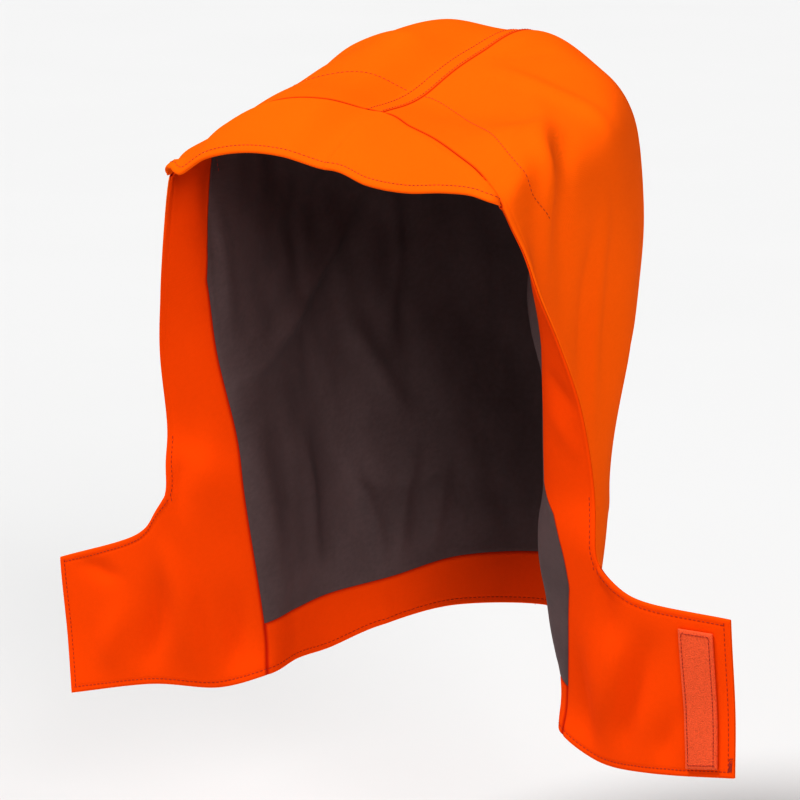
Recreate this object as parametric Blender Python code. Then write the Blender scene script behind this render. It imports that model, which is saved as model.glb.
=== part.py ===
"""A soft arc flash hood, shown worn: two side panels felled together over the head, a stiff sewn peak,
wide front facings that run down into two neck flaps, a lining, a neck band and a closure patch.
Metres, +Z up. The wearer faces -Y and the wearer's left is +X. The origin is the head's seat, on the
lining under the crown. Every layer is an offset of one surface, which the table of ribs describes.
"""

from collections import namedtuple

import bmesh
import bpy
import numpy as np

# The hood's own sizes
HALF_WIDTH = 0.120  # the ribs' table measures across in shares of this
DEPTH = 0.226  # from the peak's seam to the back of the head
DROP = 0.351  # from the peak's seam down to the hem at the back
SEAT_DEPTH = 0.100  # the head's seat, behind the peak's seam
CROWN_LEAN = 0.013  # the crown sits this much higher on the wearer's right, and lower on the left

# The front opening
FACING_WIDTH = 0.036
FLAP_REACH = 0.093  # how far a neck flap spreads past the front edge
FLAP_HEIGHT = 0.095
FLAP_LEAN = 0.015  # the left flap stands this much higher at its outer edge, and the right one lower
PEAK_REACH = 0.066
PEAK_SAG = 0.004  # the peak's middle stands this proud of a straight slope

# The neck band and the closure patch
BAND_HEIGHT = 0.037
PATCH_WIDTH = 0.024
PATCH_HEIGHT = 0.080
PATCH_EDGE = 0.0115  # from the flap's outer edge
PATCH_FOOT = 0.0065  # from the flap's hem

# Cloth
PANEL_WALL = 0.0014
LINING_WALL = 0.0012
PATCH_WALL = 0.0016
LAYER_GAP = 0.0003
TRIM = 0.00022  # each layer stops this far inside its seam line
INNER_DEPTH = PANEL_WALL + LAYER_GAP  # where the lining, facings and neck band begin
PEAK_WALL = INNER_DEPTH + LINING_WALL
RIM_ANGLE = 0.8

# Cells between two neighbouring columns or ribs of the table
COLUMN_CELLS = 3
FLAP_CELLS = 2
COLUMNS = ("front", "facing", "side", "ear", "rear", "quarter", "seam")

# A rib runs from the front edge round one side to the centre seam. Points are (across, back, up) in
# shares of HALF_WIDTH, DEPTH and DROP, the facing's is a step from the front edge in shares of
# FACING_WIDTH, and the seam's has no across. cells is the number of mesh rows below the rib, and lean
# the share of CROWN_LEAN at the side, ear, rear and quarter.
Rib = namedtuple("Rib", "name cells lean front facing side ear rear quarter seam")
LEVEL = (0, 0, 0, 0)
RIBS = (
    Rib("hem", 0, LEVEL, (1.25, 0.093, -1.12), (-0.94, 0.22, 0.33), (0.942, 0.248, -1.07),
        (0.883, 0.372, -1.062), (0.70, 0.50, -1.027), (0.417, 0.677, -0.997), (0.854, -1.0)),
    Rib("band_top", 2, LEVEL, (1.27, 0.062, -1.02), (-0.97, 0.39, 0.36), (0.942, 0.243, -0.969),
        (0.875, 0.363, -0.952), (0.683, 0.518, -0.932), (0.417, 0.704, -0.90), (0.85, -0.892)),
    Rib("flap_top", 3, LEVEL, (1.375, -0.053, -0.741), (-1.33, 0.58, 0.06), (0.942, 0.204, -0.741),
        (0.917, 0.38, -0.746), (0.742, 0.535, -0.749), (0.458, 0.717, -0.746), (0.867, -0.746)),
    Rib("jaw", 2, LEVEL, (1.367, -0.053, -0.61), (-1.25, 0.44, -0.06), (0.95, 0.186, -0.61),
        (0.933, 0.385, -0.595), (0.767, 0.55, -0.578), (0.483, 0.744, -0.561), (0.903, -0.547)),
    Rib("cheek", 3, LEVEL, (1.342, -0.102, -0.462), (-1.0, 0.42, 0), (0.983, 0.177, -0.439),
        (0.996, 0.40, -0.41), (0.854, 0.58, -0.382), (0.517, 0.788, -0.356), (0.947, -0.342)),
    Rib("temple", 2, LEVEL, (1.267, -0.15, -0.348), (-0.69, 0.53, 0.11), (1.025, 0.168, -0.293),
        (1.021, 0.42, -0.248), (0.871, 0.602, -0.202), (0.538, 0.823, -0.162), (0.978, -0.142)),
    Rib("rear_crown", 2, (0, 0.2, 0.4, 0.4), (1.20, -0.186, -0.271), (-0.44, 0.58, 0.19),
        (1.067, 0.15, -0.191), (1.017, 0.389, -0.131), (0.85, 0.584, -0.063), (0.517, 0.805, 0.01),
        (0.929, 0.026)),
    Rib("crown", 2, (0.1, 0.7, 1.0, 0.8), (1.142, -0.212, -0.199), (-0.22, 0.58, 0.22),
        (1.075, 0.088, -0.12), (0.983, 0.31, -0.028), (0.783, 0.513, 0.042), (0.425, 0.664, 0.096),
        (0.739, 0.103)),
    Rib("brow", 2, (0, 0.3, 0.95, 0.95), (1.092, -0.235, -0.154), (-0.08, 0.56, 0.33),
        (1.042, 0.013, -0.068), (0.908, 0.177, -0.009), (0.70, 0.319, 0.043), (0.383, 0.42, 0.085),
        (0.469, 0.085)),
    Rib("facing_line", 2, (-0.2, 0, 0.7, 0.7), (1.058, -0.248, -0.125), (-0.03, 0.42, 0.42),
        (0.975, -0.084, -0.043), (0.817, 0, -0.003), (0.60, 0.075, 0.023), (0.317, 0.142, 0.031),
        (0.186, 0.023)),
    Rib("peak_seam", 2, (-0.15, 0.3, 0.6, 0.5), (1.042, -0.252, -0.114), (-0.22, 0.03, 0.25),
        (0.867, -0.23, -0.066), (0.708, -0.199, -0.028), (0.50, -0.146, 0.003), (0.267, -0.08, 0.011),
        (-0.009, 0.006)),
)
ROWS = dict(zip([rib.name for rib in RIBS], np.cumsum([rib.cells for rib in RIBS]).tolist()))
BODY_CELLS = COLUMN_CELLS * (len(COLUMNS) - 1)
FACING_CELLS = COLUMN_CELLS
TOP_ROW = ROWS["peak_seam"]

# A flap goes on past the front edge. Points are steps from it, out and forward in shares of FLAP_REACH
# and up in shares of FLAP_HEIGHT, with the point's share of FLAP_LEAN.
Flap = namedtuple("Flap", "name middle outer")
FLAPS = (
    Flap("hem", (0.50, -0.14, 0.01, 0.2), (1.16, -0.25, -0.01, 1.0)),
    Flap("band_top", (0.46, -0.13, 0.05, 0.3), (1.14, -0.20, 0.07, 1.0)),
    Flap("flap_top", (0.27, 0.03, -0.235, 0.35), (1.0, 0.01, -0.38, 1.1)),
)
FLAP_COLUMNS = 2 * FLAP_CELLS

# The peak's front edge at each column: steps from its seam, out, forward and down in shares of PEAK_REACH
PEAK_EDGE = ((0.02, -0.06, 0.0), (0.06, -0.15, -0.10), (0.06, -0.23, -0.20), (0.05, -0.32, -0.32),
             (0.02, -0.48, -0.46), (0.0, -0.69, -0.49), (0.0, -0.89, -0.46))
PEAK_ROWS = 4
PEAK_END = 1  # cells that the peak stops short of the front edge at each end
PATCH_COLUMNS = 3
PATCH_ROWS = 8

# Colour, roughness
CLOTHS = {
    "outer_cloth": ((0.95, 0.13, 0.01), 0.85),
    "facing_cloth": ((0.90, 0.09, 0.01), 0.85),
    "lining_cloth": ((0.035, 0.028, 0.03), 0.6),
    "hook_and_loop": ((0.80, 0.09, 0.03), 0.95),
}


def spline(points, at):
    """The point at a place counted in points, on the smooth curve through them all."""
    points = np.asarray(points, float)
    first = 2 * points[0] - points[1]
    last = 2 * points[-1] - points[-2]
    padded = np.vstack([first, points, last])
    span = int(min(max(np.floor(at), 0), len(points) - 2))
    a, b, c, d = padded[span : span + 4]
    t = at - span
    return b + 0.5 * t * (c - a + t * (2 * a - 5 * b + 4 * c - d + t * (3 * (b - c) + d - a)))


def rib_points(index, side):
    """One rib's points from the front edge to the centre seam, side 1 for the wearer's left."""
    rib = RIBS[index]
    scale = np.array([HALF_WIDTH, DEPTH, DROP])
    front = np.array(rib.front) * scale
    rest = [np.array(point) * scale for point in (rib.side, rib.ear, rib.rear, rib.quarter)]
    facing = front + np.array(rib.facing) * FACING_WIDTH
    points = np.array([front, facing, *rest, (0, *rib.seam) * scale])
    if rib.name == "band_top":
        hem = rib_points(0, side)
        points[:, 2] = hem[:, 2] + BAND_HEIGHT * (points[:, 2] - hem[:, 2]) / (points[-1, 2] - hem[-1, 2])
    points[2:-1, 2] -= side * CROWN_LEAN * np.array(rib.lean)
    return points


def flap_points(index, side):
    """The flap's outer and middle points on one of the three ribs that it crosses."""
    front = rib_points(index, side)[0]
    points = []
    for step in (FLAPS[index].outer, FLAPS[index].middle):
        out, forward, up, lean = step
        move = (out * FLAP_REACH, forward * FLAP_REACH, up * FLAP_HEIGHT + side * lean * FLAP_LEAN)
        points.append(front + np.array(move))
    return np.array(points)


class Side:
    """One side of the hood as a surface over (column, row), counted in mesh cells."""

    def __init__(self, side):
        self.side = side
        # Each rib runs on past the centre seam, as the other side does, so that both meet smoothly there
        ribs = [rib_points(index, side) for index in range(len(RIBS))]
        self.ribs = [np.vstack([rib, rib[-2] * (-1, 1, 1)]) for rib in ribs]
        self.flaps = [flap_points(index, side) for index in range(len(FLAPS))]
        self.rows = [ROWS[rib.name] for rib in RIBS]

    def on_rib(self, index, column):
        rib = self.ribs[index]
        if index >= len(FLAPS):
            return spline(rib, max(column, 0) / COLUMN_CELLS)
        points = np.vstack([self.flaps[index], rib])
        if column < 0:
            return spline(points, 2 + column / FLAP_CELLS)
        return spline(points, 2 + column / COLUMN_CELLS)

    def at(self, column, row):
        """The outer face's point, with the wearer's right side at -X."""
        place = float(np.interp(row, self.rows, range(len(self.rows))))
        points = [self.on_rib(index, column) for index in range(len(RIBS))]
        if column < 0:
            edge = self.on_rib(len(FLAPS), 0) - self.on_rib(len(FLAPS) - 1, 0)
            points = [*points[: len(FLAPS)], points[len(FLAPS) - 1] + edge]
        x, y, z = spline(points, place)
        return np.array([self.side * x, y - SEAT_DEPTH, z])

    def normal(self, column, row):
        """The direction out of the hood."""
        step = 0.25
        outermost = -FLAP_COLUMNS if row <= ROWS["flap_top"] else 0
        along = self.at(min(column + step, BODY_CELLS), row) - self.at(max(column - step, outermost), row)
        up = self.at(column, min(row + step, TOP_ROW)) - self.at(column, max(row - step, 0))
        out = self.side * np.cross(along, up)
        if column == BODY_CELLS:
            out[0] = 0
        return out / np.linalg.norm(out)


SIDES = {"left": Side(1), "right": Side(-1)}
SEAT_STEPS = 100
seam_rows = np.linspace(TOP_ROW / 2, TOP_ROW, SEAT_STEPS + 1)
seam_line = [SIDES["left"].at(BODY_CELLS, row) for row in seam_rows]
SEAT_RISE = min(seam_line, key=lambda point: abs(point[1]))[2] - PANEL_WALL - LAYER_GAP - LINING_WALL


def layer_point(name, column, row, depth):
    """A point this deep under the outer face, in the finished frame."""
    side = SIDES[name]
    point = side.at(column, row) - depth * side.normal(column, row)
    return point - np.array([0, 0, SEAT_RISE])


def body_cells(first_column, last_column, first_row, last_row):
    return {(column, row) for column in range(first_column, last_column) for row in range(first_row, last_row)}


FLAP_AREA = body_cells(-FLAP_COLUMNS, 0, 0, ROWS["flap_top"])
PANEL_AREA = body_cells(0, BODY_CELLS, 0, TOP_ROW) | FLAP_AREA
FACING_AREA = (
    FLAP_AREA
    | body_cells(0, FACING_CELLS, 0, TOP_ROW)
    | body_cells(FACING_CELLS, BODY_CELLS, ROWS["facing_line"], TOP_ROW)
)
BAND_AREA = body_cells(FACING_CELLS, BODY_CELLS, 0, ROWS["band_top"])
LINING_AREA = body_cells(FACING_CELLS, BODY_CELLS, ROWS["band_top"], ROWS["facing_line"])


def cloth(name):
    """The material of one kind of cloth, made once for each object."""
    colour, roughness = CLOTHS[name]
    material = bpy.data.materials.new(name)
    material.use_nodes = True
    shader = material.node_tree.nodes["Principled BSDF"]
    shader.inputs["Base Color"].default_value = (*colour, 1)
    shader.inputs["Roughness"].default_value = roughness
    shader.inputs["Metallic"].default_value = 0
    return material


def trimmed(mesh, walls):
    """Moves every open edge's points a little into the cloth, so that layers end side by side."""
    moves = {}
    for vertex in mesh.verts:
        if vertex.is_boundary:
            middle = sum((face.calc_center_median() for face in vertex.link_faces), vertex.co * 0)
            moves[vertex] = (middle / len(vertex.link_faces) - vertex.co).normalized() * TRIM
    for vertex, move in moves.items():
        vertex.co += move
        walls[vertex].co += move


def sewn(name, cells, cloth_name):
    """One closed wall of four-cornered cells. A corner is its point on the outer face and the one on the
    inner face, and the corners of a cell run anticlockwise seen from outside. Each cell is two triangles,
    cut the same way in every layer, so that the layers stay parallel.
    """
    mesh = bmesh.new()
    outer = {}
    walls = {}
    for cell in cells:
        for point, inner_point in cell:
            key = tuple(np.round(point, 7))
            if key not in outer:
                outer[key] = mesh.verts.new(point)
                walls[outer[key]] = mesh.verts.new(inner_point)
        a, b, c, d = [outer[tuple(np.round(point, 7))] for point, _ in cell]
        mesh.faces.new((a, b, c))
        mesh.faces.new((a, c, d))
    trimmed(mesh, walls)
    for face in list(mesh.faces):
        for loop in face.loops:
            if loop.edge.is_boundary:
                near, far = loop.vert, loop.link_loop_next.vert
                mesh.faces.new((far, near, walls[near], walls[far]))
        mesh.faces.new([walls[vertex] for vertex in reversed(face.verts)])
    data = bpy.data.meshes.new(name)
    mesh.to_mesh(data)
    mesh.free()
    data.shade_smooth()
    data.set_sharp_from_angle(angle=RIM_ANGLE)
    data.materials.append(cloth(cloth_name))
    piece = bpy.data.objects.new(name, data)
    hood.objects.link(piece)
    return piece


def layer_cells(name, area, depth, wall):
    """The cells of one side's layer, its outer face at this depth, each turned to face out."""
    made = {}
    cells = []
    for column, row in sorted(area):
        corners = ((column, row), (column + 1, row), (column + 1, row + 1), (column, row + 1))
        for corner in corners:
            if corner not in made:
                made[corner] = [layer_point(name, *corner, inset) for inset in (depth, depth + wall)]
        cell = [made[corner] for corner in corners]
        cells.append(cell if name == "left" else cell[::-1])
    return cells


def grid_cells(grid):
    """The cells of a grid of corners, whose lines run up and follow each other anticlockwise."""
    return [
        [near[row], far[row], far[row + 1], near[row + 1]]
        for near, far in zip(grid, grid[1:])
        for row in range(len(near) - 1)
    ]


def peak_cells():
    """The peak from the wearer's right end of its seam to the left, widest over the centre seam. Its
    back rim faces the rims of the panels and facings, so it has their normals there.
    """
    columns = [("right", column) for column in range(PEAK_END, BODY_CELLS + 1)]
    columns += [("left", column) for column in range(BODY_CELLS - 1, PEAK_END - 1, -1)]
    lines = []
    for name, column in columns:
        seam = layer_point(name, column, TOP_ROW, 0)
        step = spline(PEAK_EDGE, column / COLUMN_CELLS) * PEAK_REACH
        step[0] *= SIDES[name].side
        length = np.linalg.norm(step)
        begin = LAYER_GAP / length
        line = []
        for row in range(PEAK_ROWS + 1):
            share = begin + (1 - begin) * (1 - row / PEAK_ROWS)
            proud = PEAK_SAG * length / PEAK_REACH * 4 * share * (1 - share)
            line.append(seam + share * step + np.array([0, 0, proud]))
        lines.append(line)
    lines = np.array(lines)
    normals = np.cross(np.gradient(lines, axis=0), np.gradient(lines, axis=1))
    normals /= np.linalg.norm(normals, axis=2, keepdims=True)
    for (name, column), line in zip(columns, normals):
        line[-1] = SIDES[name].normal(column, TOP_ROW)
    under = lines - PEAK_WALL * normals
    return grid_cells([list(zip(line, inner)) for line, inner in zip(lines, under)])


def patch_cells():
    """The closure patch on the left flap's inner side, lying on the facing."""
    depth = PANEL_WALL + LINING_WALL + 3 * LAYER_GAP
    low = ROWS["flap_top"] * PATCH_FOOT / FLAP_HEIGHT
    high = ROWS["flap_top"] * (PATCH_FOOT + PATCH_HEIGHT) / FLAP_HEIGHT
    grid = []
    for distance in np.linspace(PATCH_EDGE, PATCH_EDGE + PATCH_WIDTH, PATCH_COLUMNS + 1):
        line = []
        for row in np.linspace(low, high, PATCH_ROWS + 1):
            outer_span = SIDES["left"].at(-FLAP_CELLS, row) - SIDES["left"].at(-FLAP_COLUMNS, row)
            column = -FLAP_COLUMNS + FLAP_CELLS * distance / np.linalg.norm(outer_span)
            line.append([layer_point("left", column, row, inset) for inset in (depth, depth + PATCH_WALL)])
        grid.append(line)
    return grid_cells(grid)


for old in list(bpy.data.objects):
    bpy.data.objects.remove(old, do_unlink=True)

hood = bpy.data.collections.new("arc_flash_hood")
bpy.context.scene.collection.children.link(hood)

for side_name in SIDES:
    sewn(f"side_panel_{side_name}", layer_cells(side_name, PANEL_AREA, 0, PANEL_WALL), "outer_cloth")
    facing = layer_cells(side_name, FACING_AREA, INNER_DEPTH, LINING_WALL)
    sewn(f"front_facing_{side_name}", facing, "facing_cloth")
sewn("peak", peak_cells(), "outer_cloth")
across_both = (("lining", LINING_AREA, "lining_cloth"), ("neck_band", BAND_AREA, "facing_cloth"))
for node, area, cloth_name in across_both:
    both = [cell for side_name in SIDES for cell in layer_cells(side_name, area, INNER_DEPTH, LINING_WALL)]
    sewn(node, both, cloth_name)
sewn("closure_patch", patch_cells(), "hook_and_loop")
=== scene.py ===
"""The looks of a soft arc flash hood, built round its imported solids: two side panels of orange twill
felled together over the head, a stiff sewn peak, wide facings that run down into two neck flaps, a
dark lining, a neck band and a closure patch. Metres, +Z up. The wearer faces -Y and the wearer's left
is +X. Every layer is an offset of one surface, which the table of ribs describes.
"""

import functools
import math
from collections import namedtuple

import bpy
import numpy as np
from bpy.props import FloatProperty, FloatVectorProperty, PointerProperty
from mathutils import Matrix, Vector
from mathutils.kdtree import KDTree


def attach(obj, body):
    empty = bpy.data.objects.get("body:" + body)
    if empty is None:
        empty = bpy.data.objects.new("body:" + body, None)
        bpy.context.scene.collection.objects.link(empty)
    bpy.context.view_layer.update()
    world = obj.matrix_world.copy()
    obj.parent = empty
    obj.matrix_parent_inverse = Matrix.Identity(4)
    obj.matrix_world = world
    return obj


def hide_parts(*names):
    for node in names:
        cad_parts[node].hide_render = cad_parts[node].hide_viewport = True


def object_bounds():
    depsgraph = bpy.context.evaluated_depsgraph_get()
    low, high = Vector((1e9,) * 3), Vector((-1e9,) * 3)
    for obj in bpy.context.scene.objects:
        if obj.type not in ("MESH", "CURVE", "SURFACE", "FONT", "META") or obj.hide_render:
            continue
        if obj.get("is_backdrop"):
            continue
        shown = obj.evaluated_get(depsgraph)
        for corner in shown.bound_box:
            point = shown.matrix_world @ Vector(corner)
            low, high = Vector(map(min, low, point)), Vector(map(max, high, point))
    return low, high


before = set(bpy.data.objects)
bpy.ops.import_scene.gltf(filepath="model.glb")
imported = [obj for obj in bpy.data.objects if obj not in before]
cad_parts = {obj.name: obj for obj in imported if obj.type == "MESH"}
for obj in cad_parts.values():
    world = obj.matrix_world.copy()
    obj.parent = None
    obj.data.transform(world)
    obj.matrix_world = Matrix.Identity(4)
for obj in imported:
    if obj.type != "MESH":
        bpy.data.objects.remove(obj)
CAD_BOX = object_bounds()

bl_info = {
    "name": "Arc flash hood",
    "version": (1, 0, 0),
    "blender": (4, 5, 0),
    "location": "3D View > Sidebar > Hood",
    "description": "Builds a lined twill hood with a sewn peak and two neck flaps",
    "category": "Object",
}

MM = 0.001

# The hood's own sizes
HALF_WIDTH = 0.120
DEPTH = 0.226
DROP = 0.351
SEAT_DEPTH = 0.100
SEAT_RISE = 0.0257573
CROWN_LEAN = 0.013
FACING_WIDTH = 0.036
FLAP_REACH = 0.093
FLAP_HEIGHT = 0.095
FLAP_LEAN = 0.015
PEAK_REACH = 0.066
PEAK_SAG = 0.004
BAND_HEIGHT = 0.037
PATCH_WIDTH = 0.024
PATCH_HEIGHT = 0.080
PATCH_EDGE = 0.0115
PATCH_FOOT = 0.0065

# Cloth
PANEL_WALL = 0.0014
LINING_WALL = 0.0012
PATCH_WALL = 0.0016
LAYER_GAP = 0.0003
INNER_DEPTH = PANEL_WALL + LAYER_GAP
PEAK_WALL = INNER_DEPTH + LINING_WALL

# Edges and rows of stitches
RIM_ANGLE = 0.9  # radians between faces that meet in a sharp edge
EDGE_STEP = 0.0004
CORNER_EASE = 9  # millimetres of bend at each front corner
CORNER_REACH = 0.022
STITCH_INSET = 0.004  # from an edge to the row of stitches beside it
FELLED_ROW = 0.0016
PATCH_STITCH_INSET = 0.0026
THREAD_UNEVENNESS = 0.08
# Half width of the dark line along the facings' and neck band's seams: the seam's own dark line with
# painted shade in it
SEAM_LINE_SHADE_WIDTH = 0.0012

# How far edges, seams and rows of stitches draw the cloth in, and how wide they are
Dip = namedtuple("Dip", "depth width")
OUTER_EDGE = Dip(0.0009, 0.0016)
OUTER_PEAK_EDGE = Dip(0.0007, 0.0016)
INNER_EDGE = Dip(0.0007, 0.0014)
INNER_PEAK_EDGE = Dip(0.0006, 0.0014)
PEAK_SEAM_EDGE = Dip(0.0008, 0.0016)
PATCH_RIM = Dip(0.0006, 0.0012)
FACING_SEAM_DIP = Dip(0.0005, 0.0010)
LINING_SEAM_DIP = Dip(0.0006, 0.0016)
STITCH_DIP = Dip(0.00022, 0.0009)
DEEP_STITCH_DIP = Dip(0.00025, 0.0009)

# The lining's slack: between its seams, in its waves and in its wrinkles, and the most in all
SLACK = 0.0020
SLACK_WAVES = 0.0011
SLACK_WRINKLES = 0.0004
MOST_SLACK = 0.012

# Rows between which the front edges and the flaps' outer edges are stitched, and the bar tack's
FRONT_ROWS = (2.9, 1.94)
FLAP_ROWS = (1.94, 0.1)
TACK_ROWS = (0.30, 0.07)

# Weave
TWILL_RELIEF = 0.00008
LINING_PITCH = 0.55  # millimetres from one thread to the next

# Light and camera
SUN_ANGLE = math.radians(24)
SENSOR_WIDTH = 36

# A rib runs from the front edge round one side to the centre seam. Points are (across, back, up) in
# shares of HALF_WIDTH, DEPTH and DROP, the facing's is a step from the front edge in shares of
# FACING_WIDTH, and the seam's has no across. lean is the share of CROWN_LEAN at the side, ear, rear
# and quarter.
Rib = namedtuple("Rib", "name lean front facing side ear rear quarter seam")
LEVEL = (0, 0, 0, 0)
RIBS = (
    Rib("hem", LEVEL, (1.25, 0.093, -1.12), (-0.94, 0.22, 0.33), (0.942, 0.248, -1.07),
        (0.883, 0.372, -1.062), (0.70, 0.50, -1.027), (0.417, 0.677, -0.997), (0.854, -1.0)),
    Rib("band_top", LEVEL, (1.27, 0.062, -1.02), (-0.97, 0.39, 0.36), (0.942, 0.243, -0.969),
        (0.875, 0.363, -0.952), (0.683, 0.518, -0.932), (0.417, 0.704, -0.90), (0.85, -0.892)),
    Rib("flap_top", LEVEL, (1.375, -0.053, -0.741), (-1.33, 0.58, 0.06), (0.942, 0.204, -0.741),
        (0.917, 0.38, -0.746), (0.742, 0.535, -0.749), (0.458, 0.717, -0.746), (0.867, -0.746)),
    Rib("jaw", LEVEL, (1.367, -0.053, -0.61), (-1.25, 0.44, -0.06), (0.95, 0.186, -0.61),
        (0.933, 0.385, -0.595), (0.767, 0.55, -0.578), (0.483, 0.744, -0.561), (0.903, -0.547)),
    Rib("cheek", LEVEL, (1.342, -0.102, -0.462), (-1.0, 0.42, 0), (0.983, 0.177, -0.439),
        (0.996, 0.40, -0.41), (0.854, 0.58, -0.382), (0.517, 0.788, -0.356), (0.947, -0.342)),
    Rib("temple", LEVEL, (1.267, -0.15, -0.348), (-0.69, 0.53, 0.11), (1.025, 0.168, -0.293),
        (1.021, 0.42, -0.248), (0.871, 0.602, -0.202), (0.538, 0.823, -0.162), (0.978, -0.142)),
    Rib("rear_crown", (0, 0.2, 0.4, 0.4), (1.20, -0.186, -0.271), (-0.44, 0.58, 0.19),
        (1.067, 0.15, -0.191), (1.017, 0.389, -0.131), (0.85, 0.584, -0.063), (0.517, 0.805, 0.01),
        (0.929, 0.026)),
    Rib("crown", (0.1, 0.7, 1.0, 0.8), (1.142, -0.212, -0.199), (-0.22, 0.58, 0.22),
        (1.075, 0.088, -0.12), (0.983, 0.31, -0.028), (0.783, 0.513, 0.042), (0.425, 0.664, 0.096),
        (0.739, 0.103)),
    Rib("brow", (0, 0.3, 0.95, 0.95), (1.092, -0.235, -0.154), (-0.08, 0.56, 0.33),
        (1.042, 0.013, -0.068), (0.908, 0.177, -0.009), (0.70, 0.319, 0.043), (0.383, 0.42, 0.085),
        (0.469, 0.085)),
    Rib("facing_line", (-0.2, 0, 0.7, 0.7), (1.058, -0.248, -0.125), (-0.03, 0.42, 0.42),
        (0.975, -0.084, -0.043), (0.817, 0, -0.003), (0.60, 0.075, 0.023), (0.317, 0.142, 0.031),
        (0.186, 0.023)),
    Rib("peak_seam", (-0.15, 0.3, 0.6, 0.5), (1.042, -0.252, -0.114), (-0.22, 0.03, 0.25),
        (0.867, -0.23, -0.066), (0.708, -0.199, -0.028), (0.50, -0.146, 0.003), (0.267, -0.08, 0.011),
        (-0.009, 0.006)),
)
ROW = {rib.name: place for place, rib in enumerate(RIBS)}
FLAP_COLUMNS = 2

# A flap goes on past the front edge. Points are steps from it, out and forward in shares of FLAP_REACH
# and up in shares of FLAP_HEIGHT, with the point's share of FLAP_LEAN.
Flap = namedtuple("Flap", "name middle outer")
FLAPS = (
    Flap("hem", (0.50, -0.14, 0.01, 0.2), (1.16, -0.25, -0.01, 1.0)),
    Flap("band_top", (0.46, -0.13, 0.05, 0.3), (1.14, -0.20, 0.07, 1.0)),
    Flap("flap_top", (0.27, 0.03, -0.235, 0.35), (1.0, 0.01, -0.38, 1.1)),
)

# The peak's front edge at each column: steps from its seam in shares of PEAK_REACH
PEAK_EDGE = ((0.01, -0.035, 0.0), (0.06, -0.15, -0.10), (0.06, -0.23, -0.20), (0.05, -0.32, -0.32),
             (0.02, -0.48, -0.46), (0.0, -0.69, -0.49), (0.0, -0.89, -0.46))
PEAK_END = 0.06  # the column where each end of the peak stops

# Grid lines of the cloth: from one place in the table to the next, and how many cells lie between.
# They are close together beside edges, seams and rows of stitches.
COLUMN_LINES = ((-2, -1.98, 2), (-1.98, -1.84, 7), (-1.84, 0, 28), (0, 0.03, 3), (0.03, 0.25, 8),
                (0.25, 0.92, 10), (0.92, 0.98, 3), (0.98, 1.02, 4), (1.02, 1.1, 3), (1.1, 5.6, 94),
                (5.6, 5.98, 21), (5.98, 6, 3))
ROW_LINES = ((0, 0.03, 3), (0.03, 0.24, 8), (0.24, 0.92, 10), (0.92, 1.08, 6), (1.08, 1.84, 22),
             (1.84, 1.98, 10), (1.98, 2, 2), (2, 3, 18), (3, 4, 22), (4, 5, 20), (5, 6, 18), (6, 7, 16),
             (7, 8, 20), (8, 8.88, 18), (8.88, 9.12, 12), (9.12, 9.46, 14), (9.46, 9.8, 7),
             (9.8, 9.97, 8), (9.97, 10, 3))
PEAK_LINES = ((0, 0.02, 3), (0.02, 0.12, 5), (0.12, 0.86, 22), (0.86, 0.98, 9), (0.98, 1, 3))

# Where the facing meets the lining, as a column at these rows
FACING_SEAM = {
    "left": ((0, 0.86), (0.9, 0.76), (1.3, 0.62), (1.75, 0.50), (2.05, 0.58), (2.5, 0.70), (3, 1.0),
             (4.2, 1.0), (4.8, 0.8), (6.5, 0.8), (8, 1.0)),
    "right": ((0, 1.0), (2.8, 0.97), (4.4, 0.96), (5.2, 0.95), (5.9, 1.07), (6.8, 1.32), (7.8, 1.58),
              (8.7, 1.68), (9.4, 1.5), (10, 1.4)),
}

# The line of stitches that holds the facing behind the peak's seam, as columns and rows from the centre
FACING_LINE = {
    "left": ((5.95, 9.0), (5.5, 9.04), (5.0, 9.09), (4.3, 9.24), (3.2, 9.39), (2.2, 9.38), (1.6, 9.18),
             (1.3, 8.75), (1.2, 8.3), (1.23, 7.8), (1.3, 7.3)),
    "right": ((5.65, 8.97), (5.2, 8.95), (4.6, 8.93), (3.6, 9.0), (2.7, 9.02), (2.1, 8.9), (1.85, 8.5),
              (1.72, 8.0), (1.62, 7.4)),
}

# The seam up the lining's back, which hangs to the wearer's right of the panels' own
LINING_SEAM = ((4.85, 1.05), (5.05, 1.8), (5.35, 2.9), (5.3, 4.4), (5.5, 6.2), (5.8, 7.8), (5.95, 8.95))

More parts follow.
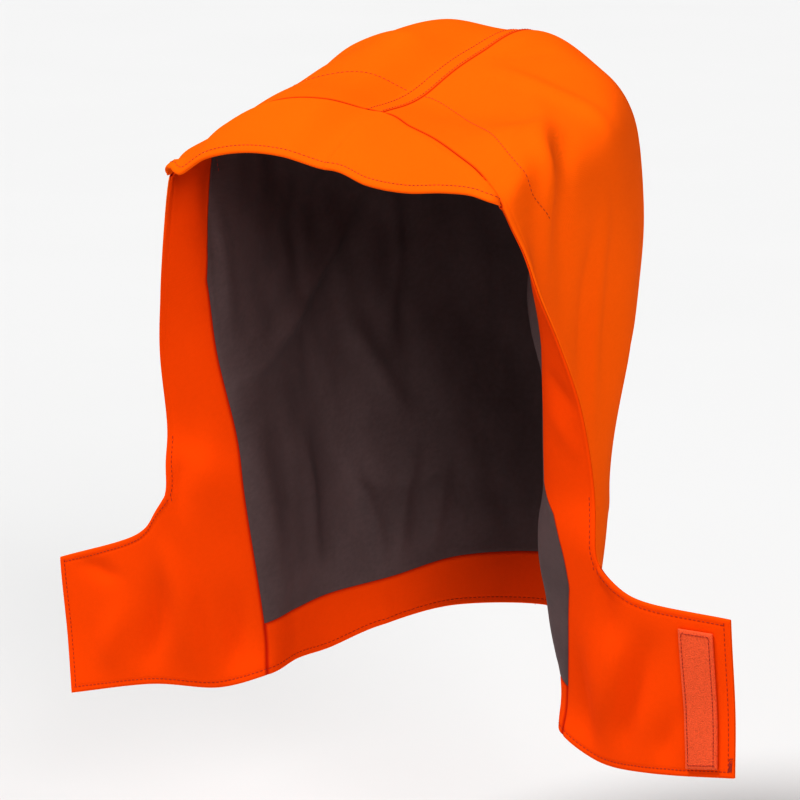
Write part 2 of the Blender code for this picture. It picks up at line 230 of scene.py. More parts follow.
# Soft folds of both panels with all that lies under them: a side, a height and a half width in
# millimetres, and the line that it follows, as columns and rows. One on both sides lies over the seam.
Fold = namedtuple("Fold", "side height width line")
FOLDS = (
    Fold("both", 5.5, 25, ((5.85, 6.3), (5.85, 6.8), (5.8, 7.3), (5.8, 7.8))),
    Fold("left", 3.5, 20, ((5.0, 7.2), (4.7, 6.9), (4.4, 6.6))),
    Fold("left", -2.5, 9, ((5.7, 8.1), (5.55, 7.7), (5.3, 7.3))),
    Fold("left", 3.0, 9, ((5.6, 8.3), (5.25, 8.15), (4.6, 8.0), (3.9, 7.6), (3.2, 7.1))),
    Fold("left", 4.5, 8, ((4.6, 8.2), (3.3, 8.5), (2.1, 8.6), (1.4, 7.6), (1.2, 6.5), (1.15, 5.6))),
    Fold("left", -3.2, 9, ((3.2, 8.0), (2.2, 7.9), (1.7, 7.0), (1.55, 5.9), (1.6, 4.6))),
    Fold("left", 2.8, 6, ((2.5, 6.5), (2.3, 5.4), (2.3, 4.6), (2.35, 3.8), (2.5, 3.1))),
    Fold("left", -1.8, 6, ((2.2, 6.3), (2.0, 5.3), (2.0, 4.4), (2.05, 3.6))),
    Fold("left", 2.2, 7, ((0.6, 4.5), (0.4, 4.2), (0.15, 3.95))),
    Fold("left", -1.6, 7, ((0.7, 4.0), (0.45, 3.7), (0.2, 3.4))),
    Fold("left", 4.5, 10, ((-1.2, 1.7), (-0.9, 1.3), (-0.6, 0.95), (-0.45, 0.6))),
    Fold("left", -3.6, 10, ((-0.8, 1.7), (-0.5, 1.35), (-0.3, 0.9))),
    Fold("left", 3.2, 9, ((-0.1, 2.0), (-0.3, 1.75), (-0.4, 1.5))),
    Fold("left", 2.6, 8, ((-1.45, 1.1), (-1.2, 0.6), (-1.15, 0.2))),
    Fold("left", -3.0, 11, ((0.1, 1.6), (-0.05, 1.2), (-0.1, 0.6))),
    Fold("left", 2.4, 9, ((0.45, 1.5), (0.3, 1.0), (0.25, 0.4))),
    Fold("left", 2.0, 10, ((4.7, 6.0), (4.5, 4.4), (4.6, 2.8))),
    Fold("left", -1.6, 9, ((3.7, 5.4), (3.6, 4.2), (3.8, 2.6))),
    Fold("left", 1.4, 8, ((3.4, 2.3), (4.3, 2.0), (5.2, 2.2))),
    Fold("right", 5.0, 9, ((-0.65, 1.5), (-0.88, 1.0), (-1.04, 0.4))),
    Fold("right", -5.0, 10, ((-0.36, 1.75), (-0.2, 1.4), (-0.28, 1.1), (-0.36, 0.5))),
    Fold("right", 4.0, 8, ((0.6, 1.35), (0.44, 1.0), (0.24, 0.4))),
    Fold("right", -3.2, 9, ((-1.25, 1.4), (-1.45, 0.9), (-1.5, 0.4))),
    Fold("right", 2.4, 7, ((-1.75, 1.95), (-1.5, 1.7), (-1.3, 1.6))),
    Fold("right", 3.0, 8, ((0.25, 2.5), (0.2, 2.15), (0.16, 1.8))),
    Fold("right", -1.6, 9, ((0.6, 3.2), (0.55, 2.5), (0.6, 2.0))),
    Fold("right", 2.6, 9, ((5.3, 8.2), (4.5, 7.9), (3.8, 7.4), (3.1, 6.8))),
    Fold("right", 2.4, 8, ((2.3, 8.3), (1.5, 7.6), (1.2, 6.4), (1.2, 5.4))),
    Fold("right", -1.8, 10, ((2.4, 7.2), (2.0, 6.0), (1.9, 4.6))),
    Fold("right", 1.8, 8, ((2.7, 6.2), (2.5, 4.8), (2.6, 3.2))),
    Fold("right", 2.0, 10, ((4.4, 5.6), (4.3, 4.0), (4.5, 2.6))),
    Fold("right", 1.4, 8, ((3.2, 2.2), (4.2, 1.9), (5.1, 2.1))),
    Fold("right", -1.4, 4, ((4.0, 0.7), (4.05, 0.1))),
)

# Folds of the lining alone, where up is into the hood
LINING_FOLDS = (
    Fold("right", 7.5, 8, ((3.9, 5.3), (3.3, 4.75), (2.85, 4.45), (1.9, 3.9), (1.05, 3.55))),
    Fold("right", -2.0, 9, ((3.4, 5.9), (2.7, 5.3), (1.9, 4.8), (1.3, 4.4))),
    Fold("right", 3.0, 6, ((4.2, 4.9), (4.3, 4.2), (4.1, 3.5))),
    Fold("right", 3.0, 5, ((4.5, 2.4), (4.3, 1.75), (4.15, 1.1))),
    Fold("right", 3.0, 6, ((4.95, 2.5), (4.75, 1.7), (4.6, 1.1))),
    Fold("right", 3.0, 8, ((3.4, 3.9), (4.0, 3.2), (4.4, 2.6))),
    Fold("right", 2.5, 6, ((3.4, 2.3), (3.8, 1.7), (3.95, 1.1))),
    Fold("right", 2.0, 8, ((1.3, 3.1), (1.4, 2.0), (1.5, 1.2))),
    Fold("right", 2.0, 6, ((1.4, 6.8), (1.25, 5.2), (1.2, 4.1))),
    Fold("right", 2.5, 7, ((2.4, 2.9), (2.5, 2.1), (2.6, 1.3))),
    Fold("left", 8.0, 6, ((1.05, 7.0), (1.1, 6.2), (1.1, 5.2), (1.1, 4.4))),
    Fold("left", 1.5, 7, ((1.15, 2.6), (1.1, 2.0), (1.1, 1.2))),
    Fold("left", 3.0, 8, ((4.9, 5.2), (4.4, 4.0), (4.6, 2.6))),
    Fold("left", 3.0, 9, ((3.2, 6.0), (2.6, 4.6), (2.8, 3.0))),
)


def grid_lines(spans):
    """The places of all grid lines."""
    lines = [np.linspace(start, end, cells, endpoint=False) for start, end, cells in spans]
    return np.concatenate([*lines, [spans[-1][1]]])


def spline_weights(count, places):
    """The shares of count points that give the smooth curve through them at each place."""
    places = np.asarray(places, float)
    span = np.clip(np.floor(places), 0, count - 2).astype(int)
    t = places - span
    square, cube = t**2, t**3
    shares = [-t + 2 * square - cube, 2 - 5 * square + 3 * cube, t + 4 * square - 3 * cube, cube - square]
    shares = np.stack(shares, -1)
    weights = np.zeros((*places.shape, count + 2))
    for step in range(4):
        np.put_along_axis(weights, (span + step)[..., None], shares[..., step : step + 1] / 2, -1)
    # The curve runs straight on to one more point past each end
    weights[..., 1] += 2 * weights[..., 0]
    weights[..., 2] -= weights[..., 0]
    weights[..., -2] += 2 * weights[..., -1]
    weights[..., -3] -= weights[..., -1]
    return weights[..., 1:-1]


def rib_points(index, side):
    """One rib's points from the front edge to the centre seam, side 1 for the wearer's left."""
    rib = RIBS[index]
    scale = np.array([HALF_WIDTH, DEPTH, DROP])
    front = np.array(rib.front) * scale
    rest = [np.array(point) * scale for point in (rib.side, rib.ear, rib.rear, rib.quarter)]
    facing = front + np.array(rib.facing) * FACING_WIDTH
    points = np.array([front, facing, *rest, (0, *rib.seam) * scale])
    if rib.name == "band_top":
        hem = rib_points(0, side)
        points[:, 2] = hem[:, 2] + BAND_HEIGHT * (points[:, 2] - hem[:, 2]) / (points[-1, 2] - hem[-1, 2])
    points[2:-1, 2] -= side * CROWN_LEAN * np.array(rib.lean)
    return points


def flap_points(index, side):
    """The flap's outer and middle points on one of the three ribs that it crosses."""
    front = rib_points(index, side)[0]
    points = []
    for out, forward, up, lean in (FLAPS[index].outer, FLAPS[index].middle):
        move = (out * FLAP_REACH, forward * FLAP_REACH, up * FLAP_HEIGHT + side * lean * FLAP_LEAN)
        points.append(front + np.array(move))
    return np.array(points)


def table_points(side):
    """The points of the head part and of the flap, by rib and column, from the flap's outer edge."""
    body = []
    for index in range(len(RIBS)):
        points = rib_points(index, side)
        if index < len(FLAPS):
            body.append(np.vstack([flap_points(index, side), points]))
        else:
            step = points[0] - points[1]
            body.append(np.vstack([points[0] + 2 * step, points[0] + step, points]))
    body = np.array(body)
    # Each rib runs on past the centre seam, as the other side does, so that both meet smoothly there
    body = np.concatenate([body, body[:, -2:-1] * (-1, 1, 1)], axis=1)
    rise = body[len(FLAPS), FLAP_COLUMNS] - body[len(FLAPS) - 1, FLAP_COLUMNS]
    flap = np.vstack([body[: len(FLAPS)], body[len(FLAPS) - 1 : len(FLAPS)] + rise])
    return body, flap


def surface_points(side, columns, rows):
    """Points on the cloth's outer face, where columns has a line of places for each row."""
    body, flap = table_points(side)
    across = spline_weights(body.shape[1], columns + FLAP_COLUMNS)
    points = np.einsum("vr,vsc,rcx->vsx", spline_weights(len(body), rows), across, body)
    on_flap = np.einsum("vr,vsc,rcx->vsx", spline_weights(len(flap), np.minimum(rows, 2)), across, flap)
    points = np.where((columns < 0)[..., None], on_flap, points)
    return points * (side, 1, 1) - (0, SEAT_DEPTH, SEAT_RISE)


def smooth_step(value, start, end):
    """0 up to start, 1 from end on, and smooth between."""
    share = np.clip((value - start) / (end - start), 0, 1)
    return share * share * (3 - 2 * share)


def rolled(distance, width):
    """How far a rounded edge falls away: 1 at the edge, and nothing from width on."""
    share = np.clip(1 - distance / width, 0, 1)
    return 1 - np.sqrt(1 - share * share * 0.98)


def ridge(distance, width):
    """1 on a line, and smoothly less beside it."""
    return np.exp(-((distance / width) ** 2))


def edge_dip(distance, dip):
    """How far the cloth falls away this far from an edge."""
    return dip.depth * rolled(distance, dip.width)


def line_dip(distance, dip):
    """How far the cloth sinks this far from a line."""
    return dip.depth * ridge(distance, dip.width)


def at_places(places, known, points):
    """The points at these places, from the points at the known ones."""
    return np.stack([np.interp(places, known, part) for part in points.T], axis=1)


def lengths_along(points, axis):
    """The length of cloth from the first grid line to each point, along one way of the grid."""
    steps = np.linalg.norm(np.diff(points, axis=axis), axis=2)
    start = np.zeros_like(np.take(steps, [0], axis=axis))
    return np.concatenate([start, np.cumsum(steps, axis=axis)], axis=axis)


def corner_normals(points, cells):
    """The direction out of the cloth at each grid point, from the cells that are there."""
    faces = np.cross(points[1:, 1:] - points[:-1, :-1], points[1:, :-1] - points[:-1, 1:])
    faces = faces * cells[..., None]
    normals = np.zeros_like(points)
    for rows in (slice(None, -1), slice(1, None)):
        for columns in (slice(None, -1), slice(1, None)):
            normals[rows, columns] += faces
    return normals / np.maximum(np.linalg.norm(normals, axis=2, keepdims=True), 1e-12)


def closest(points, path):
    """The nearest of the path's points to each point, and the distance to it."""
    tree = KDTree(len(path))
    for index, point in enumerate(path):
        tree.insert(point, index)
    tree.balance()
    found = [tree.find(point)[1:] for point in points.reshape(-1, 3)]
    nearest, distance = zip(*found)
    return np.array(nearest).reshape(points.shape[:-1]), np.array(distance).reshape(points.shape[:-1])


def softened(path, width):
    """The path with its bends spread over a width, which is counted in its points. Its ends stay."""
    reach = 3 * width
    shares = np.exp(-0.5 * (np.arange(-reach, reach + 1) / width) ** 2)
    shares /= shares.sum()
    before = 2 * path[0] - path[reach:0:-1]
    after = 2 * path[-1] - path[-2 : -reach - 2 : -1]
    long = np.vstack([before, path, after])
    return sum(share * long[step : step + len(path)] for step, share in enumerate(shares))


def filled_in(path, step):
    """The path with points at most a step apart."""
    path = np.asarray(path)
    pieces = []
    for near, far in zip(path, path[1:]):
        count = max(int(np.ceil(np.linalg.norm(far - near) / step)), 1)
        pieces.append(near + (far - near) * np.linspace(0, 1, count, endpoint=False)[:, None])
    return np.vstack([*pieces, path[-1:]])


def waves(points, count, longest, shortest, seed):
    """A gentle unevenness between about -1 and 1, the same each time."""
    random = np.random.default_rng(seed)
    total = np.zeros(points.shape[:-1])
    for _ in range(count):
        direction = random.normal(size=3)
        direction /= np.linalg.norm(direction)
        length = shortest * (longest / shortest) ** random.random()
        total += np.sin(points @ direction * 2 * np.pi / length + random.random() * 2 * np.pi)
    return total / np.sqrt(count)


class Drape:
    """The outer face of all the cloth as one grid, from the wearer's left flap round to the right."""

    def __init__(self, fold_scale, felled_width, felled_rise):
        self.rows = grid_lines(ROW_LINES)
        lines = grid_lines(COLUMN_LINES)
        self.columns = np.concatenate([lines, lines[-2::-1]])
        self.seam = len(lines) - 1
        self.left = np.arange(len(self.columns)) < self.seam
        self.left_cells = self.left[:-1]
        self.places = {name: self.placed(lines, FACING_SEAM[name]) for name in FACING_SEAM}
        left = surface_points(1, self.places["left"], self.rows)
        right = surface_points(-1, self.places["right"], self.rows)
        base = np.concatenate([left, right[:, -2::-1]], axis=1)
        self.cells = (self.row_cells(0, 2)[:, None] & self.column_cells(-2, 0)) | self.column_cells(0, 6)
        base = self.eased_corners(base)
        normals = corner_normals(base, self.cells)
        self.across = lengths_along(base, 1)
        self.across = np.abs(self.across - self.across[:, self.seam : self.seam + 1])
        self.up = lengths_along(base, 0)
        self.to_edge = closest(base, self.open_edges(base))[1]
        self.to_peak = self.up[-1:] - self.up
        self.felled_width = felled_width
        fade = smooth_step(self.to_edge, 0.002, 0.03) * smooth_step(self.to_peak, 0.002, 0.02)
        height = waves(base, count=16, longest=0.16, shortest=0.05, seed=3) * 0.0006 * fade
        height += self.folds(base, FOLDS) * fold_scale * smooth_step(self.to_peak, 0.0, 0.012)
        self.points = base + normals * height[..., None]
        self.normals = corner_normals(self.points, self.cells)
        self.lining_sag = self.sag(base) * fold_scale
        self.facing_paths = {side: self.traced(base, side, FACING_LINE[side]) for side in FACING_LINE}
        self.lining_seam = closest(base, self.traced(base, "right", LINING_SEAM))[1]
        self.relief = self.outer_relief(base, felled_rise)
        self.inner_relief = self.facing_relief()

    def traced(self, values, side, places):
        """Values along the smooth line through these places in the table, between grid points."""
        places = np.array(places)
        steps = spline_weights(len(places), np.linspace(0, len(places) - 1, 60 * len(places))) @ places
        line = []
        for column, row in steps:
            along = np.interp(row, self.rows, np.arange(len(self.rows)))
            low = min(int(along), len(self.rows) - 2)
            lines = self.places[side]
            here = lines[low] + (lines[low + 1] - lines[low]) * (along - low)
            across = np.interp(column, here, np.arange(len(here)))
            if side == "right":
                across = len(self.columns) - 1 - across
            near = min(int(across), len(self.columns) - 2)
            corners = values[low : low + 2, near : near + 2]
            pair = corners[0] + (corners[1] - corners[0]) * (along - low)
            line.append(pair[0] + (pair[1] - pair[0]) * (across - near))
        return np.array(line)

    def placed(self, lines, seam):
        """The column of every grid line at every row, where line 1 follows the facing's seam."""
        seam_rows, seam_columns = zip(*seam)
        edge = np.interp(self.rows, seam_rows, seam_columns)[:, None]
        inside = np.where(lines < 1, lines * edge, edge + (lines - 1) * (2 - edge))
        return np.where((lines < 0) | (lines > 2), lines, inside)

    def row_cells(self, first, last):
        middles = (self.rows[1:] + self.rows[:-1]) / 2
        return (middles > first) & (middles < last)

    def column_cells(self, first, last):
        middles = (self.columns[1:] + self.columns[:-1]) / 2
        return (middles > first) & (middles < last)

    def area(self, rows, columns, side=None):
        """The cells between two rows and two columns, on both sides or one."""
        cells = self.row_cells(*rows)[:, None] & self.column_cells(*columns) & self.cells
        if side:
            cells = cells & (self.left_cells if side == "left" else ~self.left_cells)
        return cells

    def row_index(self, row):
        return int(np.argmin(np.abs(self.rows - row)))

    def column_index(self, column, side):
        index = int(np.argmin(np.abs(self.columns[: self.seam + 1] - column)))
        return index if side == "left" else len(self.columns) - 1 - index

    def eased_corners(self, base):
        """Rounds the corner where each front edge turns out into its flap's top edge."""
        top = self.row_index(ROW["flap_top"])
        high = self.row_index(ROW["temple"])
        eased = base.copy()
        for side, own in (("left", slice(None, self.seam)), ("right", slice(self.seam + 1, None))):
            front = self.column_index(0, side)
            outer = self.column_index(-2, side)
            flap = np.arange(front, outer, 1 if outer > front else -1)
            corners = [base[high:top:-1, front], base[top, flap], base[top, outer][None]]
            path = filled_in(np.vstack(corners), MM)
            held = smooth_step(np.minimum(np.arange(len(path)), np.arange(len(path))[::-1]), 4, 30)
            shift = (softened(path, CORNER_EASE) - path) * held[:, None]
            nearest, distance = closest(base[:, own], path)
            eased[:, own] += shift[nearest] * ridge(distance, CORNER_REACH)[..., None]
        return eased

    def open_edges(self, base):
        """Points all along the front edges, the flaps' edges and the hem."""
        top = self.row_index(ROW["flap_top"])
        paths = [base[0]]
        for side in ("left", "right"):
            front = self.column_index(0, side)
            outer = self.column_index(-2, side)
            low, high = sorted((front, outer))
            paths += [base[top:, front], base[: top + 1, outer], base[top, low : high + 1]]
        return np.vstack([filled_in(path, EDGE_STEP) for path in paths])

    def folds(self, base, table):
        """The height that a table of folds gives at each point."""
        height = np.zeros(base.shape[:2])
        for fold in table:
            places = np.array(fold.line, float)
            steps = spline_weights(len(places), np.linspace(0, len(places) - 1, 12 * len(places))) @ places
            side = -1 if fold.side == "right" else 1
            line = [surface_points(side, step[None, :1], step[1:])[0, 0] for step in steps]
            spacing = np.linalg.norm(np.gradient(np.array(line), axis=0), axis=1)
            taper = np.sin(np.linspace(0.12, np.pi - 0.12, len(line)))
            width = fold.width * MM
            own = {"left": self.left, "right": ~self.left, "both": self.columns > 0}[fold.side]
            own = own | (np.arange(len(self.columns)) == self.seam)
            near = base[:, own]
            total = np.zeros(near.shape[:2])
            for point, share, gap in zip(line, taper, spacing):
                total += share * gap * np.exp(-((near - point) ** 2).sum(axis=2) / width**2)
            height[:, own] += fold.height * MM * total / (width * np.sqrt(np.pi))
        return height

    def sag(self, base):
        """How far the lining hangs in from the panels. It is held along its seams."""
        band = self.up - self.up[self.row_index(ROW["band_top"])]
        facing = self.up[self.row_index(ROW["facing_line"])] - self.up
        near = np.minimum(np.minimum(band, facing), self.behind_facing())
        wave = waves(base * (1, 1, 0.55), count=14, longest=0.14, shortest=0.045, seed=11)
        wrinkles = waves(base * (1, 1, 0.6), count=18, longest=0.045, shortest=0.016, seed=13)
        slack = smooth_step(near, 0.0, 0.03) * (SLACK + SLACK_WAVES * wave + SLACK_WRINKLES * wrinkles)
        folds = smooth_step(near, 0.0, 0.006) * self.folds(base, LINING_FOLDS)
        return np.clip(slack + folds, 0, MOST_SLACK)

    def behind_facing(self):
        """How far each point lies behind the facing's seam, along its row."""
        seams = [self.across[:, self.column_index(1, side)][:, None] for side in ("left", "right")]
        return np.where(self.left, *seams) - self.across

    def outer_relief(self, base, felled_rise):
        """What stands proud of the panels' outer faces: the felled strip, rolled edges and stitch rows."""
        right = ~self.left & (np.arange(len(self.columns)) > self.seam - 1)
        strip = 1 - smooth_step(self.across, self.felled_width - 0.0006, self.felled_width + 0.0012)
        relief = np.where(right, strip * felled_rise, 0)
        relief -= np.where(right, 0.00035, 0.00025) * rolled(self.across, 0.0010)
        relief -= edge_dip(self.to_edge, OUTER_EDGE)
        relief -= edge_dip(self.to_peak, OUTER_PEAK_EDGE)
        felled = np.where(self.left, 1, self.across - self.felled_width + FELLED_ROW)
        for distance in (felled, self.to_edge - STITCH_INSET):
            relief -= line_dip(distance, STITCH_DIP)
        facing_line = closest(base, np.vstack(list(self.facing_paths.values())))[1]
        fine = smooth_step(self.rows, 8.6, 8.9)[:, None]
        return relief - line_dip(facing_line, DEEP_STITCH_DIP) * fine

    def facing_relief(self):
        """The same for the faces that look into the hood, where up is into the hood."""
        relief = -edge_dip(self.to_edge, INNER_EDGE) - edge_dip(self.to_peak, INNER_PEAK_EDGE)
        seam = self.behind_facing()
        relief -= line_dip(seam, FACING_SEAM_DIP)
        behind = smooth_step(seam, -0.0005, 0.0010)
        band_top = self.up - self.up[self.row_index(ROW["band_top"])]
        relief -= line_dip(band_top, FACING_SEAM_DIP) * behind
        relief -= line_dip(self.lining_seam, LINING_SEAM_DIP) * behind
        return relief - line_dip(self.to_edge - STITCH_INSET, STITCH_DIP)

    def weave(self):
        """Millimetres across and up the cloth, for its weave."""
        signed = np.where(self.left, self.across, -self.across)
        return np.stack([signed, self.up, np.zeros_like(signed)], axis=2) / MM

    def layer(self, depth, relief=0):
        """The points this deep under the outer face, less what stands proud there."""
        return self.points - self.normals * (depth - relief + np.zeros_like(self.across))[..., None]

    def facing_layer(self):
        """Both faces of the layer that the facings and the neck band are part of."""
        return self.layer(INNER_DEPTH), self.layer(INNER_DEPTH + LINING_WALL, -self.inner_relief)

    def on_row(self, values, row):
        """Values along one row's place, between grid lines if need be."""
        index = np.interp(row, self.rows, np.arange(len(self.rows)))
        low = min(int(index), len(self.rows) - 2)
        return values[low] + (values[low + 1] - values[low]) * (index - low)


def cloth_object(name, data):
    piece = bpy.data.objects.new(name, data)
    bpy.context.scene.collection.objects.link(piece)
    return piece


def sewn(name, outer, inner, cells, weave, seams, material):
    """One closed wall between two grids of points, over the cells that it covers."""
    grid = np.arange(outer.shape[0] * outer.shape[1]).reshape(outer.shape[:2])
    total = grid.size
    a, b = grid[:-1, :-1], grid[:-1, 1:]
    d, c = grid[1:, :-1], grid[1:, 1:]
    padded = np.pad(cells, 1)
    faces = [np.stack([a, b, c, d], -1)[cells], np.stack([a, d, c, b], -1)[cells] + total]
    rims = (
        (a, b, padded[:-2, 1:-1]),
        (b, c, padded[1:-1, 2:]),
        (c, d, padded[2:, 1:-1]),
        (d, a, padded[1:-1, :-2]),
    )
    for near, far, neighbour in rims:
        open_side = cells & ~neighbour
        faces.append(np.stack([far, near, near + total, far + total], -1)[open_side])
    faces = np.concatenate(faces)
    used, corners = np.unique(faces, return_inverse=True)
    points = np.concatenate([outer.reshape(-1, 3), inner.reshape(-1, 3)])[used]
    data = bpy.data.meshes.new(name)
    data.from_pydata(points.tolist(), [], corners.reshape(-1, 4).tolist())
    weave_type = ("weave", "FLOAT_VECTOR", "vector", weave.reshape(-1, 3))
    # The seam attribute is the mask for the dark seam line with its painted shade
    seam_shade_type = ("seam", "FLOAT", "value", seams.reshape(-1))
    for label, kind, key, values in (weave_type, seam_shade_type):
        both = np.concatenate([values, values])[used]
        attribute = data.attributes.new(label, kind, "POINT")
        attribute.data.foreach_set(key, both.ravel().astype(np.float32))
    data.shade_smooth()
    data.set_sharp_from_angle(angle=RIM_ANGLE)
    data.materials.append(material)
    return cloth_object(name, data)


Row = namedtuple("Row", "points outs")


def crossings(measures, targets, *values):
    """Each line's values at the place where its measure, which grows along the line, meets its target."""
    found = []
    for value in values:
        places = [
            [np.interp(target, line, part) for part in parts.T]
            for line, target, parts in zip(measures, targets, value)
        ]
        found.append(np.array(places))
    return found


class Face:
    """One face of the cloth, on which rows of stitches are laid out."""

    def __init__(self, cloth, points, outs):
        self.cloth = cloth
        self.points = points
        self.outs = outs

    def beside_felled_seam(self, distance):
        """A row on the felled strip, to the wearer's right of the centre seam."""
        block = (slice(0, len(self.cloth.rows) - 1), slice(self.cloth.seam, None))
        measures = self.cloth.across[block]
        targets = np.full(len(measures), distance)
        return Row(*crossings(measures, targets, self.points[block], self.outs[block]))

    def through_places(self, side, places):
        """A row along the smooth line through places in the table."""
        return Row(self.cloth.traced(self.points, side, places), self.cloth.traced(self.outs, side, places))

    def inside_front(self, side, inset, first_row, last_row):
        """A row behind the front edge, or behind the flap's outer edge, downwards."""
        cloth = self.cloth
        rows = np.arange(cloth.row_index(first_row), cloth.row_index(last_row), -1)
        edge = cloth.column_index(0 if first_row > ROW["flap_top"] else -2, side)
        columns = edge + np.arange(40) * (1 if side == "left" else -1)
        block = np.ix_(rows, columns)
        measures = np.abs(cloth.across[block] - cloth.across[rows, edge][:, None])
        return Row(*crossings(measures, np.full(len(rows), inset), self.points[block], self.outs[block]))

    def below_flap_top(self, side, inset):
        """A row under the flap's top edge, from the front edge outwards."""
        cloth = self.cloth
        top = cloth.row_index(ROW["flap_top"])
        front = cloth.column_index(0, side)
        outer = cloth.column_index(-2, side)
        way = 1 if outer > front else -1
        columns = np.arange(front - 3 * way, outer - 4 * way, way)
        rows = np.arange(top, 0, -1)
        block = np.ix_(columns, rows)
        up = cloth.up.T
        measures = up[columns, top][:, None] - up[block]
        points, outs = (values.transpose(1, 0, 2)[block] for values in (self.points, self.outs))
        return Row(*crossings(measures, np.full(len(columns), inset), points, outs))

    def above_hem(self, inset):
        """A row over the hem, from flap to flap."""
        cloth = self.cloth
        columns = np.arange(4, len(cloth.columns) - 4)
        rows = np.arange(0, cloth.row_index(ROW["band_top"]))
        block = np.ix_(columns, rows)
        points, outs = (values.transpose(1, 0, 2)[block] for values in (self.points, self.outs))
        return Row(*crossings(cloth.up.T[block], np.full(len(columns), inset), points, outs))


class Term:
    """A socket of a node tree, for sums written as Python expressions."""

    def __init__(self, recipe, socket):
        self.recipe = recipe
        self.socket = socket

    def sum(self, operation, first, second):
        node = self.recipe.node("ShaderNodeMath", {"operation": operation}, {0: first, 1: second})
        return Term(self.recipe, node.outputs[0])

    def __add__(self, other):
        return self.sum("ADD", self, other)

    def __radd__(self, other):
        return self.sum("ADD", other, self)

    def __sub__(self, other):
        return self.sum("SUBTRACT", self, other)

    def __rsub__(self, other):
        return self.sum("SUBTRACT", other, self)

    def __mul__(self, other):
        return self.sum("MULTIPLY", self, other)

    def __rmul__(self, other):
        return self.sum("MULTIPLY", other, self)

    def __truediv__(self, other):
        return self.sum("DIVIDE", self, other)


class Recipe:
    """A node tree under construction."""

    def __init__(self, tree):
        self.tree = tree

    def node(self, kind, settings=None, values=None):
        """A node with its settings made first, and then its sockets' values or links."""
        node = self.tree.nodes.new(kind)
        for key, value in (settings or {}).items():
            setattr(node, key, value)
        for key, value in (values or {}).items():
            self.feed(node.inputs[key], value)
        return node

    def feed(self, socket, value):
        if isinstance(value, Term):
            value = value.socket
        if isinstance(value, bpy.types.NodeSocket):
            self.tree.links.new(value, socket)
        else:
            socket.default_value = value

    def out(self, node, key=0):
        return Term(self, node.outputs[key])

    def attribute(self, name, key):
        return self.out(self.node("ShaderNodeAttribute", {"attribute_name": name}), key)

    def sine(self, angle):
        return self.out(self.node("ShaderNodeMath", {"operation": "SINE"}, {0: angle}))

    def noise(self, vector, scale, detail=2.0, roughness=0.5):
        values = {"Vector": vector, "Scale": scale, "Detail": detail, "Roughness": roughness}
        return self.out(self.node("ShaderNodeTexNoise", None, values), "Fac")

    def mixed(self, share, first, second):
        """A mix of two colours."""
        settings = {"data_type": "RGBA", "blend_type": "MIX", "clamp_factor": True}
        node = self.node("ShaderNodeMix", settings, {0: share, 6: first, 7: second})
        return self.out(node, 2)

    def bump(self, shader, strength, distance, height):
        """Raises and sinks the shader's surface by a height."""
        values = {"Strength": strength, "Distance": distance, "Height": height}
        self.feed(shader.inputs["Normal"], self.out(self.node("ShaderNodeBump", None, values)))


@functools.lru_cache(maxsize=None)
def stitch_tree():
    """Lays stitches along every path of a mesh. Each is a rounded piece of thread, turned along the path
    and with its own Z along the path's out attribute.
    """
    tree = bpy.data.node_groups.new("stitches", "GeometryNodeTree")
    tree.interface.new_socket("Paths", in_out="INPUT", socket_type="NodeSocketGeometry")
    for name in ("Pitch", "Length", "Thickness", "Unevenness"):
        tree.interface.new_socket(name, in_out="INPUT", socket_type="NodeSocketFloat")
    tree.interface.new_socket("Seed", in_out="INPUT", socket_type="NodeSocketInt")
    tree.interface.new_socket("Thread", in_out="INPUT", socket_type="NodeSocketMaterial")
    tree.interface.new_socket("Stitches", in_out="OUTPUT", socket_type="NodeSocketGeometry")
    recipe = Recipe(tree)
    given = recipe.node("NodeGroupInput").outputs
    curve = recipe.node("GeometryNodeMeshToCurve", None, {"Mesh": given["Paths"]})
    spacing = {"Curve": curve.outputs[0], "Length": given["Pitch"]}
    steps = recipe.node("GeometryNodeResampleCurve", {"mode": "LENGTH"}, spacing)
    tangent = recipe.node("GeometryNodeInputTangent").outputs[0]
    vector = {"data_type": "FLOAT_VECTOR"}
    out = recipe.node("GeometryNodeInputNamedAttribute", vector, {"Name": "out"}).outputs[0]
    along = recipe.node("FunctionNodeAlignRotationToVector", {"axis": "X"}, {"Vector": tangent}).outputs[0]
    upright = {"axis": "Z", "pivot_axis": "X"}
    towards = {"Rotation": along, "Vector": out}
    turned = recipe.node("FunctionNodeAlignRotationToVector", upright, towards).outputs[0]
    uneven = Term(recipe, given["Unevenness"])
    random = recipe.node("FunctionNodeRandomValue", {"data_type": "FLOAT"}, {"Seed": given["Seed"]})
    recipe.feed(random.inputs[2], 1 - uneven)
    recipe.feed(random.inputs[3], 1 + uneven)
    length = Term(recipe, given["Length"]) * Term(recipe, random.outputs[1])
    thickness = given["Thickness"]
    size = recipe.node("ShaderNodeCombineXYZ", None, {0: length, 1: thickness, 2: thickness})
    thread = recipe.node("GeometryNodeMeshUVSphere", None, {"Segments": 6, "Rings": 4, "Radius": 0.5})
    lay = {"Points": steps.outputs[0], "Instance": thread.outputs[0]}
    lay.update({"Rotation": turned, "Scale": size.outputs[0]})
    placed = recipe.node("GeometryNodeInstanceOnPoints", None, lay)
    real = recipe.node("GeometryNodeRealizeInstances", None, {"Geometry": placed.outputs[0]})
    dress = {"Geometry": real.outputs[0], "Material": given["Thread"]}
    dressed = recipe.node("GeometryNodeSetMaterial", None, dress)
    recipe.node("NodeGroupOutput", None, {"Stitches": dressed.outputs[0]})
    return tree


